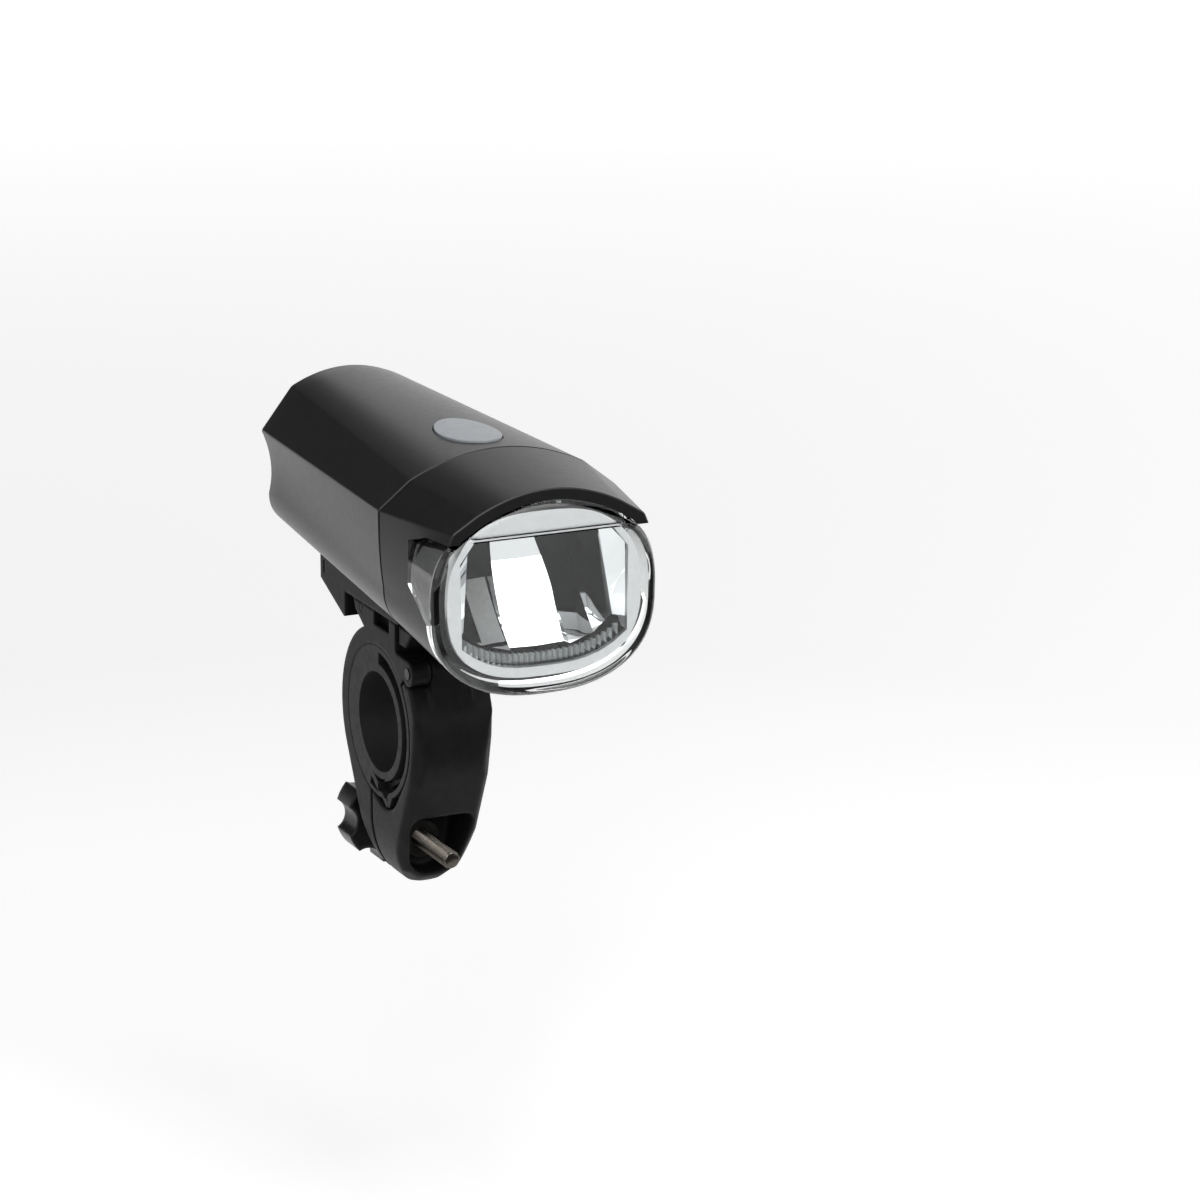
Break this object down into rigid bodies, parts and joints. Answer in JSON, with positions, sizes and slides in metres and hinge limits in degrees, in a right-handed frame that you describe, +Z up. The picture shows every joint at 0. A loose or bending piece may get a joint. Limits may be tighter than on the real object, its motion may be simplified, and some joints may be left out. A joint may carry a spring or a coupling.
{
  "type": "bicycle headlight",
  "caption": "Bicycle headlight with a visor and wrap-round lens, a push button on top, and a quick-release clamp for the handlebar.",
  "frame": {"origin": "on the handlebar's axis, in the middle of the clamp's width", "axes": "+X along the handlebar, the beam points to -Y, +Z up"},
  "size_m": [0.0534, 0.11, 0.1086],
  "materials": {
    "clamp_black": "satin",
    "body_black": "satin",
    "steel": "satin",
    "rubber": "matte",
    "button_grey": "satin",
    "clear": "clear",
    "satin_silver": "satin",
    "mirror": "polished",
    "white_board": "satin",
    "emitter": "gloss",
    "aluminium": "satin",
    "green_board": "satin",
    "black_gloss": "gloss",
    "inner_black": "matte",
    "cell_jacket": "gloss",
    "nickel": "polished"
  },
  "bodies": {
    "clamp": {"clamp_bracket": "clamp_black", "hinge_pin": "steel", "rubber_liner": "rubber", "latch_pin": "clamp_black", "latch_spring": "steel"},
    "jaw": {"front_jaw": "clamp_black", "clamp_nut": "steel"},
    "washer": {"thrust_washer": "steel"},
    "knob": {"clamp_knob": "clamp_black", "clamp_bolt": "steel"},
    "latch": {"release_latch": "clamp_black"},
    "light": {"rear_housing": "body_black", "mount_shoe": "clamp_black", "shoe_screws": "steel"},
    "push_button": {"button": "button_grey"},
    "head": {"front_head": "body_black", "lens": "clear", "bezel": "satin_silver", "reflector": "mirror", "mirror_cheeks": "mirror", "flute_strip": "mirror", "shade_plate": "inner_black", "led_board": "white_board", "led_emitter": "emitter", "heat_sink": "aluminium", "driver_board": "green_board", "tact_switch": "black_gloss", "body_seal": "rubber", "battery_carrier": "inner_black", "batteries": "cell_jacket", "battery_springs": "nickel", "contact_plates": "nickel"}
  },
  "joints": [
    {"name": "jaw_open", "type": "hinge", "parent": "clamp", "child": "jaw", "pos_m": [0, -0.0166, 0.0152], "axis": [-1, 0, 0], "range_deg": [0, 4.1]},
    {"name": "bolt_advance", "type": "slide", "parent": "jaw", "child": "washer", "axis": [0, 1, 0], "range_m": [0, 0.0035]},
    {"name": "knob_turn", "type": "hinge", "parent": "washer", "child": "knob", "pos_m": [0, 0.018, -0.0275], "axis": [0, 1, 0], "range_deg": [0, 1801]},
    {"name": "latch_press", "type": "hinge", "parent": "clamp", "child": "latch", "pos_m": [0, 0.009, 0.0236], "axis": [1, 0, 0], "range_deg": [0, 4.6], "stiffness_Nm_per_rad": 0.6, "deforming": ["latch_spring"]},
    {"name": "light_slide", "type": "slide", "parent": "clamp", "child": "light", "axis": [0, 1, 0], "range_m": [0, 0.03], "deforming": ["release_latch"]},
    {"name": "head_pull", "type": "slide", "parent": "light", "child": "head", "axis": [0, -1, 0], "range_m": [0, 0.085]},
    {"name": "button_press", "type": "slide", "parent": "light", "child": "push_button", "axis": [0, 0, -1], "range_m": [0, 0.0008], "stiffness_N_per_m": 2500}
  ],
  "couplings": [
    {"joint": "knob_turn", "follows": "bolt_advance", "rad_per_m": 8976},
    {"joint": "jaw_open", "follows": "bolt_advance", "rad_per_m": 20.365}
  ]
}
